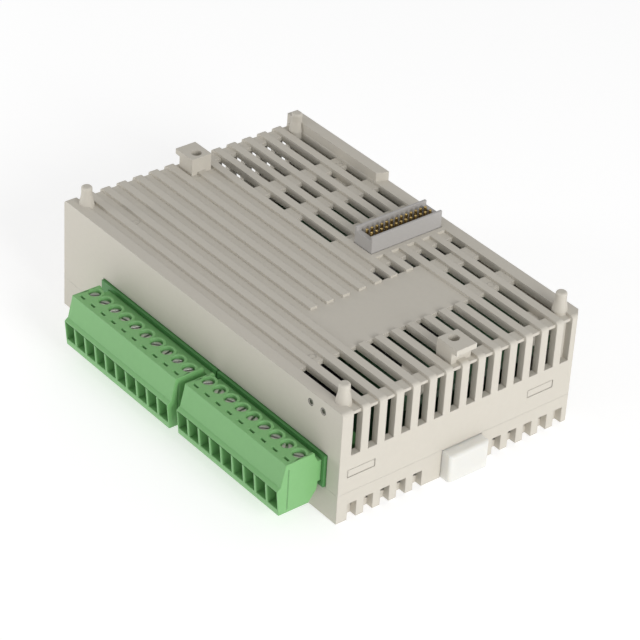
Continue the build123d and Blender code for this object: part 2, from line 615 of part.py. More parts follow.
def header(x0, x1, plug_x0, poles):
    """Open tray that the plug slides into, with a hole for each pin."""
    front = FRONT - HEADER_PROUD
    back = front + HEADER_DEPTH
    body = block(x0, x1, front, back, HEADER_Z0, HEADER_Z1)
    pocket_x1 = plug_x0 + poles * POLE_PITCH + PLUG_SIDE_GAP
    body -= block(plug_x0 - PLUG_SIDE_GAP, pocket_x1, front - OVER, back - HEADER_BACK,
                  HEADER_Z0 + HEADER_WALL, HEADER_Z1 - HEADER_WALL)
    half = header_pin_half()
    holes = [block(pole_x(plug_x0, i) - half, pole_x(plug_x0, i) + half, back - HEADER_BACK - OVER,
                   back + OVER, PIN_Z0, PIN_Z0 + HEADER_PIN_T) for i in range(poles)]
    return body - holes


def header_pin_half():
    """Half the width of a header pin, which passes between the contact's side and the channel."""
    return CONTACT_HALF - HEADER_PIN_INSET


def header_pins(plug_x0, poles):
    """Angled pins from the pocket through the back wall down into the main board."""
    half = header_pin_half()
    pins = []
    for index in range(poles):
        x = pole_x(plug_x0, index)
        bar = block(x - half, x + half, FRONT + HEADER_PIN_TIP, LEG_Y + LEG_T / 2, PIN_Z0,
                    PIN_Z0 + HEADER_PIN_T)
        leg = block(x - half, x + half, LEG_Y - LEG_T / 2, LEG_Y + LEG_T / 2, MAIN_Z0 - LEG_TAIL,
                    PIN_Z0 + HEADER_PIN_T)
        pins.append(bar + leg)
    return pins


def plug_outline(seat):
    """(y, z) outline of a plug: sloping front, wire-entry nose, bevelled underside."""
    front = FRONT - seat
    upper = [(front - out, PLUG_Z1 - down) for out, down in PLUG_UPPER]
    return upper + [(front - out, PLUG_Z0 + up) for out, up in PLUG_LOWER]


def plug_housing(x0, poles, seat):
    """Insulating body of one pluggable terminal block."""
    x1 = x0 + poles * POLE_PITCH
    front = FRONT - seat
    screw_y = front - SCREW_BACK
    body = prism_x(plug_outline(seat), x0, x1)
    body -= block(x0 + POLE_WALL, x1 - POLE_WALL, screw_y, front, PLUG_Z1 - SCALLOP_DROP, PLUG_Z1 + OVER)
    body -= block(x0 + POLE_WALL, x1 - POLE_WALL, screw_y + CAVITY_HALF_Y + TRENCH_WALL, front,
                  PLUG_Z1 - TRENCH_DROP, PLUG_Z1 + OVER)
    collar_r = POLE_PITCH / 2 + COLLAR_EXTRA
    collars = [rod_z(pole_x(x0, i), screw_y, PLUG_Z1 - SCALLOP_DROP - 0.1, PLUG_Z1, 2 * collar_r)
               for i in range(poles)]
    body += collars
    body &= block(x0, x1, front - 20, front + 20, PLUG_Z0 - OVER, PLUG_Z1 + OVER)
    body += block(x0, x1, front - PLUG_OUT - OVER, front - PLUG_OUT + PLUG_INSERT,
                  HEADER_Z0 + HEADER_WALL + TONGUE_GAP, HEADER_Z1 - HEADER_WALL - TONGUE_GAP)
    half = ENTRY_W / 2
    slot_x, slot_y, slot_z = TEST_SLOT
    cuts = []
    for index in range(poles):
        x = pole_x(x0, index)
        cuts.append(block(x - half, x + half, front - 12, screw_y, ENTRY_Z0, ENTRY_Z0 + ENTRY_HEIGHT))
        cuts.append(block(x - half, x + half, screw_y - CAVITY_HALF_Y, screw_y + CAVITY_HALF_Y,
                          ENTRY_Z0, CAVITY_Z1))
        cuts.append(rod_z(x, screw_y, CAVITY_Z1 - OVER, PLUG_Z1 + OVER, SCREW_HOLE_D))
        channel = CONTACT_HALF + SLIDE
        cuts.append(block(x - channel, x + channel, screw_y, front + PLUG_INSERT, BAR_Z0,
                          LEAF_Z0 + LEAF_T + SLIDE))
        cuts.append(block(x - slot_x / 2, x + slot_x / 2, front - TEST_SLOT_BACK - slot_y / 2,
                          front - TEST_SLOT_BACK + slot_y / 2, PLUG_Z1 - slot_z, PLUG_Z1 + OVER))
    seam_y = front - SEAM_BACK
    for x in (x0, x1):
        cuts.append(block(x - SEAM_DEPTH, x + SEAM_DEPTH, seam_y - SEAM_WIDTH / 2, seam_y + SEAM_WIDTH / 2,
                          PLUG_Z0 + SEAM_LOW, PLUG_Z1 - SEAM_DROP))
    return body - cuts


def plug_contacts(x0, poles, seat):
    """Bars that the clamps press wires against, each ending in a receptacle for a header pin."""
    front = FRONT - seat
    screw_y = front - SCREW_BACK
    tip = front - PLUG_OUT + PLUG_INSERT - RECEPTACLE_SHORT
    start = front - RECEPTACLE_START
    bar_y1 = screw_y + CAVITY_HALF_Y
    bars = []
    for index in range(poles):
        x = pole_x(x0, index)
        bar = block(x - BAR_HALF, x + BAR_HALF, screw_y - CAVITY_HALF_Y + BAR_END_GAP,
                    bar_y1 + 2 * BAR_END_GAP, BAR_Z0, BAR_Z1)
        low = block(x - CONTACT_HALF, x + CONTACT_HALF, bar_y1 + BAR_END_GAP, tip, BAR_Z0, BAR_Z1)
        side = block(x - CONTACT_HALF, x - CONTACT_HALF + RECEPTACLE_WALL, start, tip, BAR_Z0,
                     LEAF_Z0 + LEAF_T)
        leaf = block(x - CONTACT_HALF, x + CONTACT_HALF, start, tip, LEAF_Z0, LEAF_Z0 + LEAF_T)
        bars.append(bar + low + side + leaf)
    return bars


def terminal_screw(x, seat, angle):
    """Slotted clamping screw."""
    y = FRONT - seat - SCREW_BACK
    head_top = PLUG_Z1 - SCREW_SINK
    head_low = head_top - SCREW_HEAD_T
    head = rod_z(x, y, head_low, head_top, SCREW_HEAD_D)
    head = chamfer(head.faces().sort_by(Axis.Z)[-1].edges(), SCREW_CHAMFER)
    slot = Pos(x, y, head_top) * Rot(0, 0, angle) * Box(SCREW_HEAD_D + OVER, SCREW_SLOT_W,
                                                        2 * SCREW_SLOT_DEPTH)
    return head + rod_z(x, y, BAR_Z1 + SCREW_RADIAL_FIT, head_low + 0.1, SHANK_D) - slot


def wire_clamp(x, seat):
    """Metal cage that the screw draws up against the contact bar."""
    y = FRONT - seat - SCREW_BACK
    half_x = CAGE_W / 2
    half_y = CAVITY_HALF_Y - SLIDE
    body = block(x - half_x, x + half_x, y - half_y, y + half_y, CAGE_Z0, CAGE_Z1)
    body -= block(x - half_x + CAGE_WALL, x + half_x - CAGE_WALL, y - half_y - OVER, y + half_y + OVER,
                  CAGE_Z0 + CAGE_FLOOR, CAGE_Z1 - CAGE_TOP)
    return body - rod_z(x, y, CAGE_Z1 - CAGE_TOP - 0.1, CAGE_Z1 + OVER, SHANK_D + 2 * SCREW_RADIAL_FIT)


# --- Electronics -------------------------------------------------------------------------------

def main_board():
    """Lower board, notched round the clips and the snap arms, drilled for its pins."""
    body = block(-BOARD_X, BOARD_X, FRONT_IN + BOARD_EDGE, BOARD_BACK, MAIN_Z0, MAIN_TOP)
    cuts = []
    for side in (-1, 1):
        chamber, _ = clip_chamber(side)
        box = chamber.bounding_box()
        near = min(abs(box.min.X), abs(box.max.X)) - FIT
        ends = sorted((side * near, side * (X_END + OVER)))
        cuts.append(block(*ends, box.min.Y - FIT, box.max.Y + FIT, MAIN_Z0 - OVER, MAIN_TOP + OVER))
        arm = sorted((side * (X_IN - 2 * FIT - SNAP_T), side * (X_END + OVER)))
        for y0 in snap_starts():
            cuts.append(block(*arm, y0 - FIT, y0 + SNAP_WIDTH + FIT, MAIN_Z0 - OVER, MAIN_TOP + OVER))
    cuts += [rod_z(x, y, MAIN_Z0 - OVER, MAIN_TOP + OVER, POST_HOLE_D) for x, y in MAIN_POSTS]
    half = header_pin_half() + LEG_HOLE_FIT
    half_y = LEG_T / 2 + LEG_HOLE_FIT
    for x0, poles in ((PLUG_LEFT_X0, POLES_LEFT), (PLUG_RIGHT_X0, POLES_RIGHT)):
        for index in range(poles):
            x = pole_x(x0, index)
            cuts.append(block(x - half, x + half, LEG_Y - half_y, LEG_Y + half_y, MAIN_Z0 - OVER,
                              MAIN_TOP + OVER))
    return body - cuts


def bus_board():
    """Upper board under the right side, stepped back in front of the latch's groove."""
    y0 = FRONT + BUS_BOARD_FRONT
    groove = GROOVE_FLOOR - GROOVE_WALL - 2 * FIT
    body = block(BUS_BOARD_X0, X_END - BUS_BOARD_END, y0, groove, BUS_BOTTOM, BUS_TOP)
    body += block(BUS_BOARD_X0, LATCH_X0 - SLIDE - GROOVE_WALL - 2 * FIT, y0, BOARD_BACK,
                  BUS_BOTTOM, BUS_TOP)
    cuts = [rod_z(x, y, BUS_BOTTOM - OVER, BUS_TOP + OVER, POST_HOLE_D) for x, y in BUS_POSTS]
    hole = BUS_PIN / 2 + PIN_HOLE_FIT
    cuts += [block(x - hole, x + hole, y - hole, y + hole, BUS_BOTTOM - OVER, BUS_TOP + OVER)
             for x, y in bus_places()]
    return body - cuts


def bus_places():
    """Centres of the bus pins in two rows."""
    places = []
    for row in (-0.5, 0.5):
        for index in range(BUS_PINS):
            y = SHROUD_Y + (index - (BUS_PINS - 1) / 2) * BUS_PITCH
            places.append((SHROUD_X + row * BUS_ROW_GAP, y))
    return places


def bus_shroud():
    """Open box round the bus pins, standing on the bus board, its short ends lower."""
    rim = WIDTH + SHROUD_HEIGHT
    body = block(SHROUD_X0, SHROUD_X1, SHROUD_Y0, SHROUD_Y1, BUS_TOP, rim)
    end = 2 * SHROUD_WALL
    body -= block(SHROUD_X0 + SHROUD_WALL, SHROUD_X1 - SHROUD_WALL, SHROUD_Y0 + end, SHROUD_Y1 - end,
                  WIDTH - SHROUD_FLOOR, rim + OVER)
    body -= [block(SHROUD_X0 + SHROUD_WALL, SHROUD_X1 - SHROUD_WALL, y0, y0 + end + 0.1,
                   rim - SHROUD_END_DROP, rim + OVER) for y0 in (SHROUD_Y0 - 0.1, SHROUD_Y1 - end)]
    half = BUS_PIN / 2
    return body - [block(x - half, x + half, y - half, y + half, BUS_TOP - OVER, WIDTH)
                   for x, y in bus_places()]


def bus_pins():
    """Square pins with tapered tips."""
    top = WIDTH + SHROUD_HEIGHT - PIN_BELOW_RIM
    half = BUS_PIN / 2
    pins = []
    for x, y in bus_places():
        pin = block(x - half, x + half, y - half, y + half, BUS_BOTTOM - PIN_TAIL, top)
        pins.append(chamfer(pin.faces().sort_by(Axis.Z)[-1].edges(), half / 2))
    return pins


def bus_socket():
    """Socket under the main board that takes the neighbour's pins."""
    margin = SHROUD_WALL + SOCKET_GAP
    end = 2 * SHROUD_WALL + SOCKET_GAP
    body = block(SHROUD_X0 + margin, SHROUD_X1 - margin, SHROUD_Y0 + end, SHROUD_Y1 - end,
                 SOCKET_Z0, MAIN_Z0)
    half = BUS_PIN / 2 + SOCKET_PIN_FIT
    top = SHROUD_HEIGHT + SOCKET_PIN_FIT
    return body - [block(x - half, x + half, y - half, y + half, SOCKET_Z0 - OVER, top)
                   for x, y in bus_places()]


def status_lenses():
    """Two round light pipes in the front panel."""
    z = WIDTH - LIGHT_DROP
    return [rod_y(X_END - inset, FRONT + LIGHT_SINK, FRONT + LIGHT_LENGTH, z, LIGHT_D)
            for inset in LIGHT_INSETS]


def output_chips():
    """Driver chips and couplers on both boards."""
    chips = []
    length, width, height = CHIP_SIZE
    for index in range(CHIPS):
        x = -X_END + CHIP_X0 + CHIP_PITCH * index
        y = FRONT + CHIP_FRONT
        chips.append(block(x, x + length, y, y + width, MAIN_TOP, MAIN_TOP + height))
    length, width, height = COUPLER_SIZE
    for x in [X_END - inset for inset in COUPLER_INSETS]:
        for y in [FRONT + reach for reach in COUPLER_FRONTS]:
            chips.append(block(x, x + length, y, y + width, BUS_TOP, BUS_TOP + height))
    return chips


def board_link():
    """Two-row pin strip that joins the boards."""
    x0 = BUS_BOARD_X0 + LINK_INSET
    y = BACK - LINK_INSET
    return block(x0, x0 + LINK_PITCH * LINK_PINS, y - LINK_WIDTH / 2, y + LINK_WIDTH / 2, MAIN_TOP,
                 BUS_BOTTOM)


def main():
    """Write every node."""
    os.makedirs("parts", exist_ok=True)
    save("cover_shell", cover_shell())
    save("base_shell", base_shell())
    save("din_latch", din_latch())
    save("din_latch_spring", din_latch_spring())
    save("module_clip_bottom", module_clip(1))
    save("module_clip_top", module_clip(-1))
    rows = (("10", HEADER_LEFT_X0, HEADER_LEFT_X1, PLUG_LEFT_X0, POLES_LEFT, PLUG_SEAT_LEFT,
             SLOT_ANGLES_LEFT),
            ("9", HEADER_RIGHT_X0, HEADER_RIGHT_X1, PLUG_RIGHT_X0, POLES_RIGHT, PLUG_SEAT_RIGHT,
             SLOT_ANGLES_RIGHT))
    for label, x0, x1, plug_x0, poles, seat, angles in rows:
        save(f"header_{label}", header(x0, x1, plug_x0, poles))
        save(f"header_{label}_pins", header_pins(plug_x0, poles))
        save(f"plug_{label}_housing", plug_housing(plug_x0, poles, seat))
        save(f"plug_{label}_contacts", plug_contacts(plug_x0, poles, seat))
        for index in range(poles):
            x = pole_x(plug_x0, index)
            save(f"screw_{label}_{index + 1:02d}", terminal_screw(x, seat, angles[index]))
            save(f"clamp_{label}_{index + 1:02d}", wire_clamp(x, seat))
    save("main_board", main_board())
    save("bus_board", bus_board())
    save("bus_shroud", bus_shroud())
    save("bus_pins", bus_pins())
    save("bus_socket", bus_socket())
    save("status_lenses", status_lenses())
    save("output_chips", output_chips())
    save("board_link", board_link())


main()
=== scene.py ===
import logging
import math
import random
from dataclasses import dataclass, field
from enum import Enum

import bmesh
import bpy
from mathutils import Matrix, Vector


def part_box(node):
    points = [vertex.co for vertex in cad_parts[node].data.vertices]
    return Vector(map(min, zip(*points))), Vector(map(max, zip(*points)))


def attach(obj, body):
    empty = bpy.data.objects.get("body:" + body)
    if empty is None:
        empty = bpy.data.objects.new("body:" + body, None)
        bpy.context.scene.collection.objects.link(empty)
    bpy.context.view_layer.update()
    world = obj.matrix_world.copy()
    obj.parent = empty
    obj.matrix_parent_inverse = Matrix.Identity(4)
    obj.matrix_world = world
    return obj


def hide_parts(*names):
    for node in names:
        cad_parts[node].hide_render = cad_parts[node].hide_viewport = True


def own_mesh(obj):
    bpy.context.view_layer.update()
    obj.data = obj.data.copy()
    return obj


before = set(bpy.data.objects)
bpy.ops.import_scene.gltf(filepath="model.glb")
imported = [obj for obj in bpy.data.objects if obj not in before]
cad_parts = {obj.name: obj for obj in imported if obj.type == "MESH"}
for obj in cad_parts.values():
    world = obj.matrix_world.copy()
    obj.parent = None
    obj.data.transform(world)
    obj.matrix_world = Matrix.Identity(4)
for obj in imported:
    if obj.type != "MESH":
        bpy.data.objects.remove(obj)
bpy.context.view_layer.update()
MM = 0.001
Colour = tuple[float, float, float]
BELOW, ABOVE, RESULT = 6, 7, 2      # colour sockets of a Mix node
DUST_COLOUR: Colour = (0.62, 0.60, 0.56)
log = logging.getLogger("extension_module")


# --- Shared shader effects ---------------------------------------------------------------------

class Effect(Enum):
    """Shader effects that several finishes share."""

    GRAIN = "moulded_grain"
    DRIFT = "tone_drift"
    # Rounded edge normal, and the mask of a highlight painted lighter along edges.
    PAINTED_HIGHLIGHT = "edge_round_and_painted_highlight"
    DUST = "settled_dust"


class EffectKit:
    """Builds each shared node group once and hands it out. Scales are cells to the metre."""

    wide_scale: float = 90.0
    mottle_scale: float = 900.0
    patch_scale: float = 260.0
    speck_scale: float = 1500.0
    rounding: float = 0.25
    rounding_samples: int = 4
    # Gain of the mask of the highlight painted along edges.
    painted_highlight_gain: float = 3.0

    def __init__(self) -> None:
        """Starts with no group built."""
        self.built: dict[Effect, bpy.types.NodeTree] = {}

    def get(self, effect: Effect) -> bpy.types.NodeTree:
        """The node group of an effect, built on first use.

        Args:
            effect: which effect is wanted.

        Returns:
            The shader node group.
        """
        makers = {
            Effect.GRAIN: self.make_grain,
            Effect.DRIFT: self.make_drift,
            Effect.PAINTED_HIGHLIGHT: self.make_painted_highlight,
            Effect.DUST: self.make_dust,
        }
        if effect not in self.built:
            self.built[effect] = makers[effect]()
        return self.built[effect]

    @staticmethod
    def start(name: str, inputs: dict[str, float | tuple], outputs: dict[str, str]) -> bpy.types.NodeTree:
        """An empty group with its sockets.

        Args:
            name: the group's name.
            inputs: each input's name and default; a tuple makes a colour.
            outputs: each output's name and socket type.

        Returns:
            The new group, with Group Input and Group Output nodes in it.
        """
        tree = bpy.data.node_groups.new(name, "ShaderNodeTree")
        for key, value in inputs.items():
            kind = "NodeSocketColor" if isinstance(value, tuple) else "NodeSocketFloat"
            socket = tree.interface.new_socket(key, in_out="INPUT", socket_type=kind)
            socket.default_value = value
        for key, kind in outputs.items():
            tree.interface.new_socket(key, in_out="OUTPUT", socket_type=kind)
        tree.nodes.new("NodeGroupInput").name = "In"
        tree.nodes.new("NodeGroupOutput").name = "Out"
        return tree

    def make_grain(self) -> bpy.types.NodeTree:
        """Spark-eroded mould texture.

        Returns:
            A group that gives a height and a roughness.
        """
        tree = self.start("moulded_grain", {"Scale": 2200.0, "Roughness": 0.5, "Spread": 0.1},
                          {"Height": "NodeSocketFloat", "Roughness": "NodeSocketFloat"})
        place = tree.nodes.new("ShaderNodeTexCoord")
        fine = noise_node(tree, 1.0, 3.0, 0.62)
        wide = noise_node(tree, self.wide_scale, 2.0, 0.5)
        inlet, outlet = tree.nodes["In"], tree.nodes["Out"]
        tree.links.new(place.outputs["Object"], fine.inputs["Vector"])
        tree.links.new(place.outputs["Object"], wide.inputs["Vector"])
        tree.links.new(inlet.outputs["Scale"], fine.inputs["Scale"])
        centred = math_node(tree, "SUBTRACT", wide.outputs["Fac"], 0.5)
        spread = math_node(tree, "MULTIPLY", centred.outputs[0], inlet.outputs["Spread"])
        rough = math_node(tree, "ADD", spread.outputs[0], inlet.outputs["Roughness"])
        tree.links.new(fine.outputs["Fac"], outlet.inputs["Height"])
        tree.links.new(rough.outputs[0], outlet.inputs["Roughness"])
        return tree

    def make_drift(self) -> bpy.types.NodeTree:
        """Slow change of tone over a moulding, with a faint fine mottle.

        Returns:
            A group that gives a colour.
        """
        tree = self.start("tone_drift", {"Colour": (0.8, 0.8, 0.8, 1.0), "Amount": 0.05, "Scale": 45.0},
                          {"Colour": "NodeSocketColor"})
        place = tree.nodes.new("ShaderNodeTexCoord")
        slow = noise_node(tree, 45.0, 3.0, 0.5)
        mottle = noise_node(tree, self.mottle_scale, 2.0, 0.6)
        inlet, outlet = tree.nodes["In"], tree.nodes["Out"]
        tree.links.new(place.outputs["Object"], slow.inputs["Vector"])
        tree.links.new(place.outputs["Object"], mottle.inputs["Vector"])
        tree.links.new(inlet.outputs["Scale"], slow.inputs["Scale"])
        both = math_node(tree, "ADD", slow.outputs["Fac"], mottle.outputs["Fac"])
        centred = math_node(tree, "SUBTRACT", both.outputs[0], 1.0)
        swing = math_node(tree, "MULTIPLY", centred.outputs[0], inlet.outputs["Amount"])
        level = math_node(tree, "ADD", swing.outputs[0], 1.0)
        tint = tree.nodes.new("ShaderNodeVectorMath")
        tint.operation = "SCALE"
        tree.links.new(inlet.outputs["Colour"], tint.inputs[0])
        tree.links.new(level.outputs[0], tint.inputs["Scale"])
        tree.links.new(tint.outputs[0], outlet.inputs["Colour"])
        return tree

    def make_painted_highlight(self) -> bpy.types.NodeTree:
        """Edges that the mould rounds, with a mask along them where a lighter highlight is painted into the
        colour.

        Returns:
            A group that gives a mask, one along edges where the painted highlight goes, and the rounded
            normal.
        """
        tree = self.start("edge_round_and_painted_highlight", {"Amount": 0.5},
                          {"Mask": "NodeSocketFloat", "Normal": "NodeSocketVector"})
        place = tree.nodes.new("ShaderNodeTexCoord")
        bent = tree.nodes.new("ShaderNodeBevel")
        bent.samples = self.rounding_samples
        bent.inputs["Radius"].default_value = self.rounding * MM
        flat = tree.nodes.new("ShaderNodeNewGeometry")
        apart = tree.nodes.new("ShaderNodeVectorMath")
        apart.operation = "DOT_PRODUCT"
        patch = noise_node(tree, self.patch_scale, 3.0, 0.6)
        inlet, outlet = tree.nodes["In"], tree.nodes["Out"]
        tree.links.new(place.outputs["Object"], patch.inputs["Vector"])
        tree.links.new(bent.outputs["Normal"], apart.inputs[0])
        tree.links.new(flat.outputs["Normal"], apart.inputs[1])
        # Mask of the painted edge highlight: where the rounded normal turns from the true one, broken up by
        # noise.
        turned = math_node(tree, "SUBTRACT", 1.0, apart.outputs["Value"])
        strong = math_node(tree, "MULTIPLY", turned.outputs[0], self.painted_highlight_gain)
        broken = math_node(tree, "MULTIPLY", strong.outputs[0], patch.outputs["Fac"])
        scaled = math_node(tree, "MULTIPLY", broken.outputs[0], inlet.outputs["Amount"])
        scaled.use_clamp = True
        tree.links.new(scaled.outputs[0], outlet.inputs["Mask"])
        tree.links.new(bent.outputs["Normal"], outlet.inputs["Normal"])
        return tree

    def make_dust(self) -> bpy.types.NodeTree:
        """Mask of the fine dust that settles on upward faces.

        Returns:
            A group that gives a mask.
        """
        tree = self.start("settled_dust", {"Amount": 0.1}, {"Mask": "NodeSocketFloat"})
        place = tree.nodes.new("ShaderNodeTexCoord")
        flat = tree.nodes.new("ShaderNodeNewGeometry")
        parts = tree.nodes.new("ShaderNodeSeparateXYZ")
        specks = noise_node(tree, self.speck_scale, 4.0, 0.7)
        inlet, outlet = tree.nodes["In"], tree.nodes["Out"]
        tree.links.new(place.outputs["Object"], specks.inputs["Vector"])
        tree.links.new(flat.outputs["Normal"], parts.inputs[0])
        upward = math_node(tree, "MAXIMUM", parts.outputs["Z"], 0.0)
        thick = math_node(tree, "MULTIPLY", upward.outputs[0], specks.outputs["Fac"])
        scaled = math_node(tree, "MULTIPLY", thick.outputs[0], inlet.outputs["Amount"])
        scaled.use_clamp = True
        tree.links.new(scaled.outputs[0], outlet.inputs["Mask"])
        return tree


def noise_node(tree: bpy.types.NodeTree, scale: float, detail: float, rough: float) -> bpy.types.Node:
    """A noise texture.

    Args:
        tree: where the node goes.
        scale: cells to the metre.
        detail: octaves.
        rough: strength of the finer octaves.

    Returns:
        The noise node.
    """
    node = tree.nodes.new("ShaderNodeTexNoise")
    node.inputs["Scale"].default_value = scale
    node.inputs["Detail"].default_value = detail
    node.inputs["Roughness"].default_value = rough
    return node


def math_node(tree: bpy.types.NodeTree, operation: str, first: object, second: object) -> bpy.types.Node:
    """A math node with a number or a socket on each input.

    Args:
        tree: where the node goes.
        operation: the node's operation.
        first: number or output socket.
        second: number or output socket.

    Returns:
        The math node.
    """
    node = tree.nodes.new("ShaderNodeMath")
    node.operation = operation
    for index, value in enumerate((first, second)):
        if isinstance(value, (int, float)):
            node.inputs[index].default_value = value
        else:
            tree.links.new(value, node.inputs[index])
    return node


KIT = EffectKit()


# --- Finishes ------------------------------------------------------------------------------------

class Workbench:
    """A new material with the nodes that every finish starts from."""

    def __init__(self, name: str) -> None:
        """Makes the material, its shader and its output.

        Args:
            name: the material's name.
        """
        self.material = bpy.data.materials.new(name)
        self.material.use_nodes = True
        self.tree = self.material.node_tree
        self.shader = self.tree.nodes["Principled BSDF"]

    def effect(self, effect: Effect, **values: float | tuple) -> bpy.types.Node:
        """Places a shared effect with its own values.

        Args:
            effect: which effect.
            values: the group's inputs by name.

        Returns:
            The group node.
        """
        node = self.tree.nodes.new("ShaderNodeGroup")
        node.node_tree = KIT.get(effect)
        for key, value in values.items():
            node.inputs[key].default_value = value
        return node

    def blend(self, mask: object, below: object, above: Colour) -> bpy.types.Node:
        """Mixes a colour over another where a mask says.

        Args:
            mask: socket of the mask.
            below: socket of the colour under it.
            above: colour over it.

        Returns:
            The mix node, whose colour comes out of output RESULT.
        """
        node = self.tree.nodes.new("ShaderNodeMix")
        node.data_type = "RGBA"
        self.tree.links.new(mask, node.inputs["Factor"])
        self.tree.links.new(below, node.inputs[BELOW])
        node.inputs[ABOVE].default_value = (*above, 1.0)
        return node

    def bump(self, height: object, normal: object, strength: float, depth: float) -> None:
        """Feeds a height over a normal into the shader.

        Args:
            height: socket of the height.
            normal: socket of the normal that it stands on.
            strength: how strongly the normal follows the height.
            depth: height of one unit in metres.
        """
        node = self.tree.nodes.new("ShaderNodeBump")
        node.inputs["Strength"].default_value = strength
        node.inputs["Distance"].default_value = depth
        self.tree.links.new(height, node.inputs["Height"])
        self.tree.links.new(normal, node.inputs["Normal"])
        self.tree.links.new(node.outputs["Normal"], self.shader.inputs["Normal"])

    def set(self, **values: float | tuple) -> None:
        """Sets constant values on the shader's own sockets.

        Args:
            values: socket names, with underscores for spaces, and their values.
        """
        for key, value in values.items():
            self.shader.inputs[key.replace("_", " ")].default_value = value


@dataclass(frozen=True)
class Moulding:
    """Finish of a moulded plastic piece."""

    name: str
    colour: Colour
    # Lighter colour painted along the edges as a highlight.
    painted_highlight_colour: Colour
    roughness: float = 0.55
    spread: float = 0.12
    grain: float = 1500.0
    grain_strength: float = 0.6
    drift: float = 0.05
    # Strength of the highlight painted along the edges.
    painted_highlight: float = 0.5
    dust: float = 0.0
    glow: float = 0.0
    glow_depth: float = 0.6
    gloss: float = 0.5

    def make(self) -> bpy.types.Material:
        """The finish as a procedural material."""
        bench = Workbench(self.name)
        link = bench.tree.links.new
        drift = bench.effect(Effect.DRIFT, Colour=(*self.colour, 1.0), Amount=self.drift)
        painted_highlight = bench.effect(Effect.PAINTED_HIGHLIGHT, Amount=self.painted_highlight)
        grain = bench.effect(Effect.GRAIN, Scale=self.grain, Roughness=self.roughness,
                             Spread=self.spread)
        dust = bench.effect(Effect.DUST, Amount=self.dust)
        # Paints the lighter edge colour over the tone as an edge highlight.
        painted_highlight_colour = bench.blend(painted_highlight.outputs["Mask"], drift.outputs["Colour"], self.painted_highlight_colour)
        dusty = bench.blend(dust.outputs["Mask"], painted_highlight_colour.outputs[RESULT], DUST_COLOUR)
        link(dusty.outputs[RESULT], bench.shader.inputs["Base Color"])
        link(grain.outputs["Roughness"], bench.shader.inputs["Roughness"])
        bench.bump(grain.outputs["Height"], painted_highlight.outputs["Normal"], self.grain_strength, 0.03 * MM)
        bench.set(Specular_IOR_Level=self.gloss, Subsurface_Weight=self.glow,
                  Subsurface_Radius=(1.0, 0.95, 0.85), Subsurface_Scale=self.glow_depth * MM)
        return bench.material


@dataclass(frozen=True)
class Plating:
    """Finish of a metal piece."""

    name: str
    colour: Colour
    # Lighter colour painted along the edges as a highlight.
    painted_highlight_colour: Colour
    roughness: float = 0.32
    spread: float = 0.25
    grain: float = 3200.0
    grain_strength: float = 0.25
    metallic: float = 1.0

    def make(self) -> bpy.types.Material:
        """The finish as a procedural material."""
        bench = Workbench(self.name)
        link = bench.tree.links.new
        drift = bench.effect(Effect.DRIFT, Colour=(*self.colour, 1.0), Amount=0.25, Scale=600.0)
        painted_highlight = bench.effect(Effect.PAINTED_HIGHLIGHT, Amount=0.8)
        grain = bench.effect(Effect.GRAIN, Scale=self.grain, Roughness=self.roughness,
                             Spread=self.spread)
        # Paints the lighter edge colour over the tone as an edge highlight.
        painted_highlight_colour = bench.blend(painted_highlight.outputs["Mask"], drift.outputs["Colour"], self.painted_highlight_colour)
        link(painted_highlight_colour.outputs[RESULT], bench.shader.inputs["Base Color"])
        link(grain.outputs["Roughness"], bench.shader.inputs["Roughness"])
        bench.bump(grain.outputs["Height"], painted_highlight.outputs["Normal"], self.grain_strength, 0.01 * MM)
        bench.set(Metallic=self.metallic)
        return bench.material


